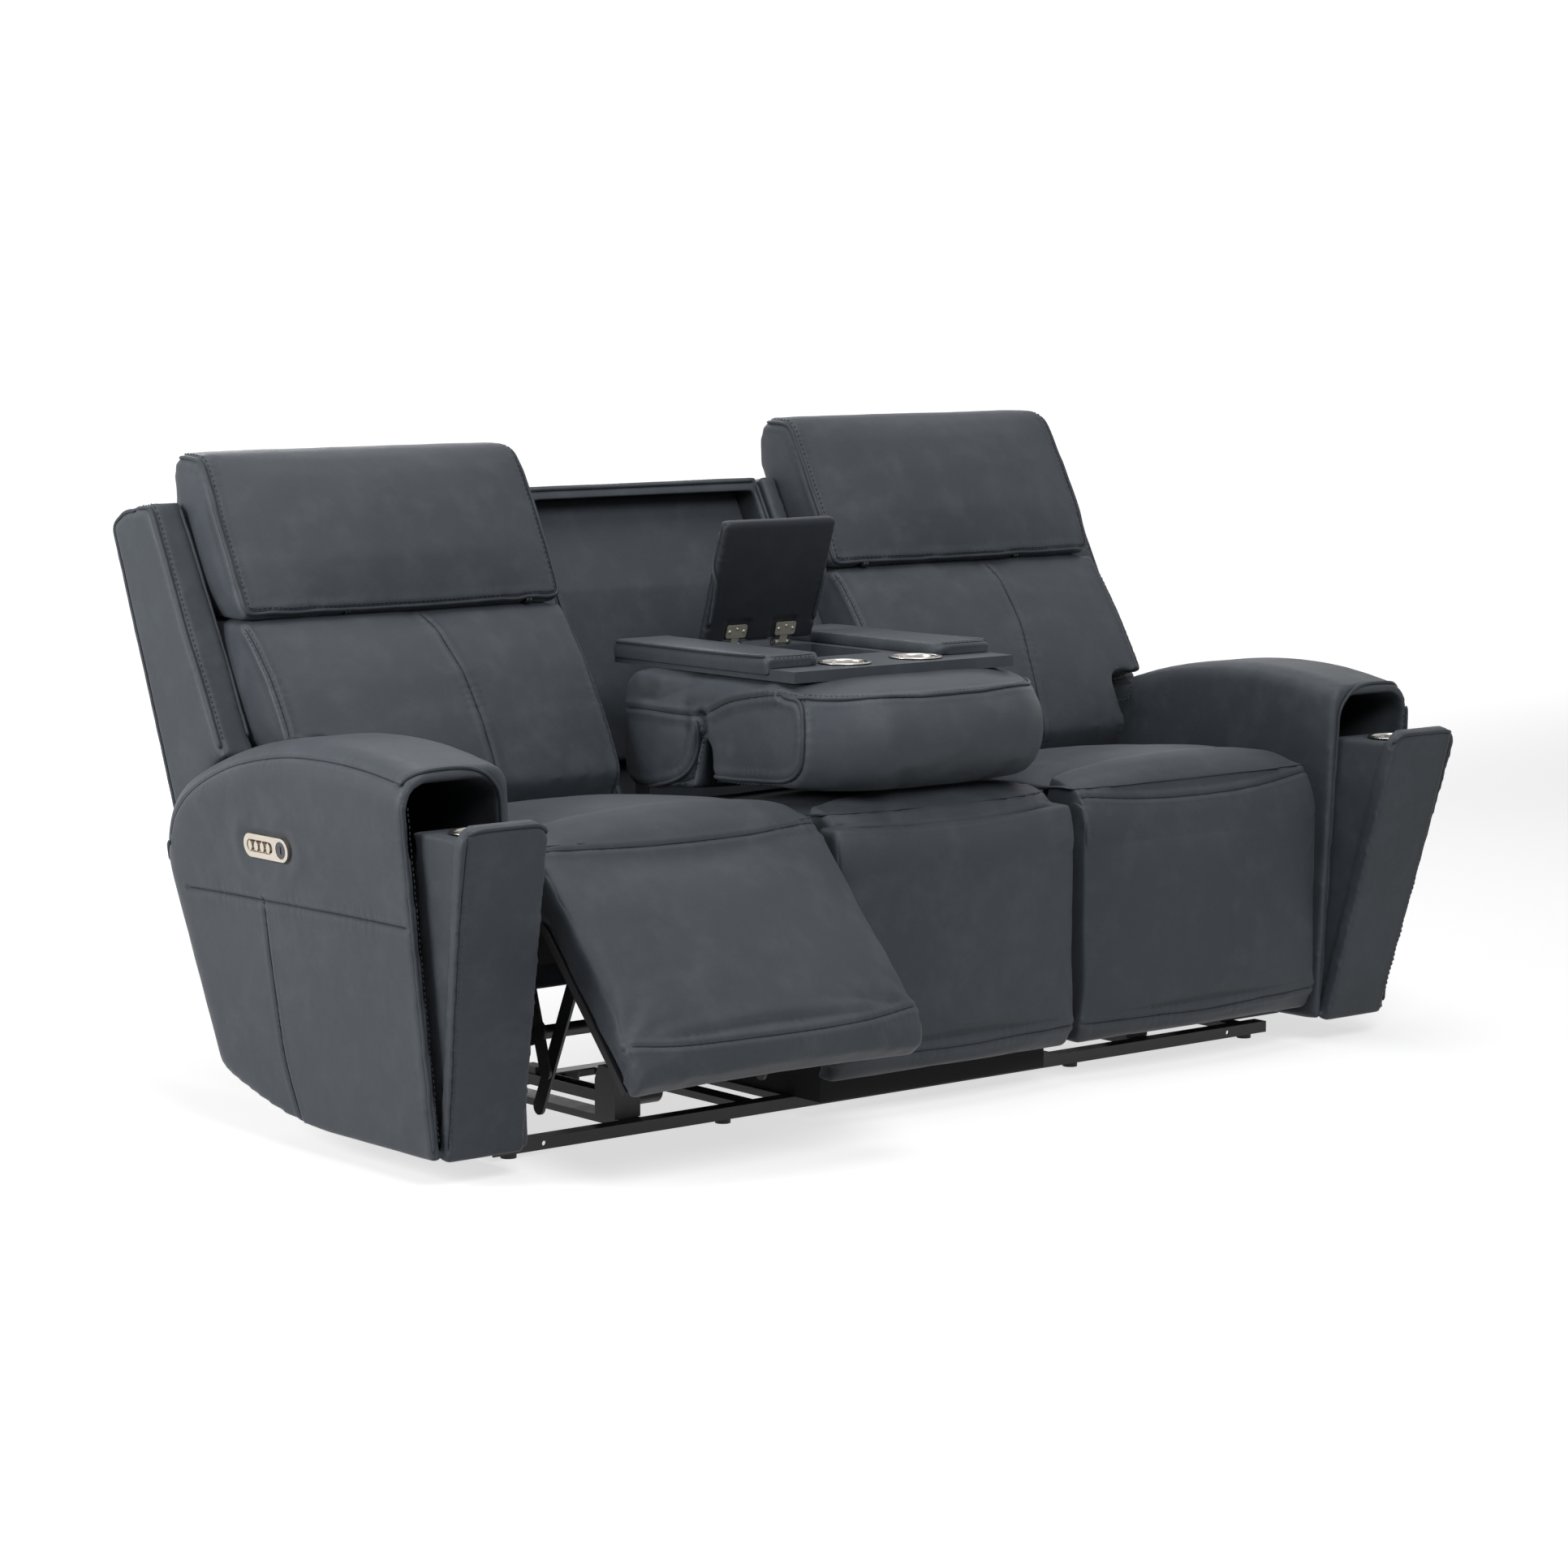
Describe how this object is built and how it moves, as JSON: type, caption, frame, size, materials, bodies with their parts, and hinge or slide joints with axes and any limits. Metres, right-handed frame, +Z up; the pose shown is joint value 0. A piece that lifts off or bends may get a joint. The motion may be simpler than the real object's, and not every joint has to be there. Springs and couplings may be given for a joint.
{
  "type": "power reclining sofa",
  "caption": "Leather sofa with reclining outer seats, folding footrests, tilting cup trays in the arms and a middle back that folds down into a console.",
  "frame": {"origin": "on the floor, under the middle of the bounding box in the pose of the picture", "axes": "+X to the viewer's right facing the sofa, along its width; the sofa faces -Y; +Z up"},
  "size_m": [2.2218, 1.2431, 1.121],
  "materials": {
    "leather": "semi-matte blue-grey leather",
    "leather_rear": "matte vinyl on the outer backs",
    "deck_cloth": "black dust cloth over wood",
    "black_steel": "black powder coat",
    "cup_steel": "brushed",
    "nickel": "satin nickel",
    "black_plastic": "fine grain",
    "gloss_plastic": "smooth",
    "foot_plastic": "matte"
  },
  "bodies": {
    "frame": {"front_base_rail": "black_steel", "base_frame_rails": "black_steel", "feet": "foot_plastic", "left_arm": "leather", "right_arm": "leather", "control_bezels": "nickel", "charging_ports": "gloss_plastic", "left_seat_frame": "deck_cloth", "right_seat_frame": "deck_cloth", "left_seat_cushion": "leather", "right_seat_cushion": "leather", "left_side_plates": "black_steel", "right_side_plates": "black_steel", "left_actuator": "black_plastic", "right_actuator": "black_plastic", "middle_seat_frame": "deck_cloth", "middle_back_shell": "leather_rear", "recess_panel": "leather", "middle_seat_cushion": "leather", "middle_front_panel": "leather", "console_pivot_brackets": "black_steel"},
    "console": {"console_back": "leather", "console_table": "gloss_plastic", "console_pads": "leather", "console_cups": "cup_steel"},
    "lid_knuckles": {"lid_hinge_knuckles": "nickel"},
    "lid": {"console_lid": "leather", "lid_hinge_plates": "nickel"},
    "left_footrest": {"left_footrest_pad": "leather", "left_footrest_board": "deck_cloth"},
    "left_lift": {"left_lift_links": "black_steel"},
    "left_strut": {"left_footrest_struts": "black_steel"},
    "left_slider": {"left_drive_slider": "black_plastic"},
    "left_back": {"left_back_shell": "leather_rear", "left_back_cushion": "leather", "left_back_brackets": "black_steel"},
    "left_headrest": {"left_headrest": "leather", "left_headrest_lugs": "black_steel"},
    "left_tray": {"left_tray": "leather", "left_tray_cup": "cup_steel"},
    "left_head_paddle": {"left_head_paddle": "nickel"},
    "left_lumbar_paddle": {"left_lumbar_paddle": "nickel"},
    "left_back_paddle": {"left_back_paddle": "nickel"},
    "left_foot_paddle": {"left_foot_paddle": "nickel"},
    "right_footrest": {"right_footrest_pad": "leather", "right_footrest_board": "deck_cloth"},
    "right_lift": {"right_lift_links": "black_steel"},
    "right_strut": {"right_footrest_struts": "black_steel"},
    "right_slider": {"right_drive_slider": "black_plastic"},
    "right_back": {"right_back_shell": "leather_rear", "right_back_cushion": "leather", "right_back_brackets": "black_steel"},
    "right_headrest": {"right_headrest": "leather", "right_headrest_lugs": "black_steel"},
    "right_tray": {"right_tray": "leather", "right_tray_cup": "cup_steel"},
    "right_head_paddle": {"right_head_paddle": "nickel"},
    "right_lumbar_paddle": {"right_lumbar_paddle": "nickel"},
    "right_back_paddle": {"right_back_paddle": "nickel"},
    "right_foot_paddle": {"right_foot_paddle": "nickel"}
  },
  "joints": [
    {"name": "left_footrest_fold", "type": "hinge", "parent": "frame", "child": "left_footrest", "pos_m": [-0.5715, -0.322, 0.468], "axis": [-1, 0, 0], "range_deg": [-42, 48]},
    {"name": "left_lift_fold", "type": "hinge", "parent": "frame", "child": "left_lift", "pos_m": [-0.5715, -0.24, 0.283], "axis": [-1, 0, 0], "range_deg": [-42.01, 48.01]},
    {"name": "left_strut_fold", "type": "hinge", "parent": "left_lift", "child": "left_strut", "pos_m": [-0.5715, -0.2824, 0.14624], "axis": [-1, 0, 0], "range_deg": [-48.01, 42.01]},
    {"name": "left_drive_slide", "type": "slide", "parent": "frame", "child": "left_slider", "axis": [0, -1, 0], "range_m": [-0.08401, 0.09601]},
    {"name": "left_recline", "type": "hinge", "parent": "frame", "child": "left_back", "pos_m": [-0.5715, 0.255, 0.33], "axis": [-1, 0, 0], "range_deg": [0, 38]},
    {"name": "left_headrest_tilt", "type": "hinge", "parent": "left_back", "child": "left_headrest", "pos_m": [-0.5715, 0.334, 0.828], "axis": [1, 0, 0], "range_deg": [0, 40]},
    {"name": "left_tray_tilt", "type": "hinge", "parent": "frame", "child": "left_tray", "pos_m": [-0.965, -0.332, 0.053], "axis": [-1, 0, 0], "range_deg": [0, 13.3]},
    {"name": "left_head_rock", "type": "hinge", "parent": "frame", "child": "left_head_paddle", "pos_m": [-1.09915, 0.0389, 0.49204], "axis": [-0.0963, 0, 0.9954], "range_deg": [-11, 11], "stiffness_Nm_per_rad": 0.05},
    {"name": "left_lumbar_rock", "type": "hinge", "parent": "frame", "child": "left_lumbar_paddle", "pos_m": [-1.09915, 0.0563, 0.49204], "axis": [-0.0963, 0, 0.9954], "range_deg": [-11, 11], "stiffness_Nm_per_rad": 0.05},
    {"name": "left_back_rock", "type": "hinge", "parent": "frame", "child": "left_back_paddle", "pos_m": [-1.09915, 0.0737, 0.49204], "axis": [-0.0963, 0, 0.9954], "range_deg": [-11, 11], "stiffness_Nm_per_rad": 0.05},
    {"name": "left_foot_rock", "type": "hinge", "parent": "frame", "child": "left_foot_paddle", "pos_m": [-1.09915, 0.0911, 0.49204], "axis": [-0.0963, 0, 0.9954], "range_deg": [-11, 11], "stiffness_Nm_per_rad": 0.05},
    {"name": "right_footrest_fold", "type": "hinge", "parent": "frame", "child": "right_footrest", "pos_m": [0.5715, -0.322, 0.468], "axis": [-1, 0, 0], "range_deg": [0, 90]},
    {"name": "right_lift_fold", "type": "hinge", "parent": "frame", "child": "right_lift", "pos_m": [0.5715, -0.24, 0.283], "axis": [-1, 0, 0], "range_deg": [-0.01, 90.01]},
    {"name": "right_strut_fold", "type": "hinge", "parent": "right_lift", "child": "right_strut", "pos_m": [0.5715, -0.18, 0.153], "axis": [-1, 0, 0], "range_deg": [-90.01, 0.01]},
    {"name": "right_drive_slide", "type": "slide", "parent": "frame", "child": "right_slider", "axis": [0, -1, 0], "range_m": [-0.00001, 0.18001]},
    {"name": "right_recline", "type": "hinge", "parent": "frame", "child": "right_back", "pos_m": [0.5715, 0.255, 0.33], "axis": [-1, 0, 0], "range_deg": [0, 38]},
    {"name": "right_headrest_tilt", "type": "hinge", "parent": "right_back", "child": "right_headrest", "pos_m": [0.5715, 0.34808, 0.854], "axis": [1, 0, 0], "range_deg": [0, 40]},
    {"name": "right_tray_tilt", "type": "hinge", "parent": "frame", "child": "right_tray", "pos_m": [0.965, -0.332, 0.053], "axis": [-1, 0, 0], "range_deg": [0, 13.3]},
    {"name": "right_head_rock", "type": "hinge", "parent": "frame", "child": "right_head_paddle", "pos_m": [1.09915, 0.0389, 0.49204], "axis": [0.0963, 0, 0.9954], "range_deg": [-11, 11], "stiffness_Nm_per_rad": 0.05},
    {"name": "right_lumbar_rock", "type": "hinge", "parent": "frame", "child": "right_lumbar_paddle", "pos_m": [1.09915, 0.0563, 0.49204], "axis": [0.0963, 0, 0.9954], "range_deg": [-11, 11], "stiffness_Nm_per_rad": 0.05},
    {"name": "right_back_rock", "type": "hinge", "parent": "frame", "child": "right_back_paddle", "pos_m": [1.09915, 0.0737, 0.49204], "axis": [0.0963, 0, 0.9954], "range_deg": [-11, 11], "stiffness_Nm_per_rad": 0.05},
    {"name": "right_foot_rock", "type": "hinge", "parent": "frame", "child": "right_foot_paddle", "pos_m": [1.09915, 0.0911, 0.49204], "axis": [0.0963, 0, 0.9954], "range_deg": [-11, 11], "stiffness_Nm_per_rad": 0.05},
    {"name": "console_fold", "type": "hinge", "parent": "frame", "child": "console", "pos_m": [0, 0.164, 0.608], "axis": [-1, 0, 0], "range_deg": [0, 117]},
    {"name": "lid_knuckle_turn", "type": "hinge", "parent": "console", "child": "lid_knuckles", "pos_m": [0, 0.186, 0.741], "axis": [-1, 0, 0], "range_deg": [-72.01, 0]},
    {"name": "lid_turn", "type": "hinge", "parent": "lid_knuckles", "child": "lid", "pos_m": [0, 0.186, 0.741], "axis": [-1, 0, 0], "range_deg": [-72, 0]}
  ],
  "couplings": [
    {"joint": "left_lift_fold", "follows": "left_footrest_fold", "ratio": 1},
    {"joint": "left_strut_fold", "follows": "left_footrest_fold", "ratio": -1},
    {"joint": "left_drive_slide", "follows": "left_footrest_fold", "m_per_rad": 0.11459},
    {"joint": "right_lift_fold", "follows": "right_footrest_fold", "ratio": 1},
    {"joint": "right_strut_fold", "follows": "right_footrest_fold", "ratio": -1},
    {"joint": "right_drive_slide", "follows": "right_footrest_fold", "m_per_rad": 0.11459},
    {"joint": "lid_knuckle_turn", "follows": "console_fold", "ratio": -0.61538}
  ]
}
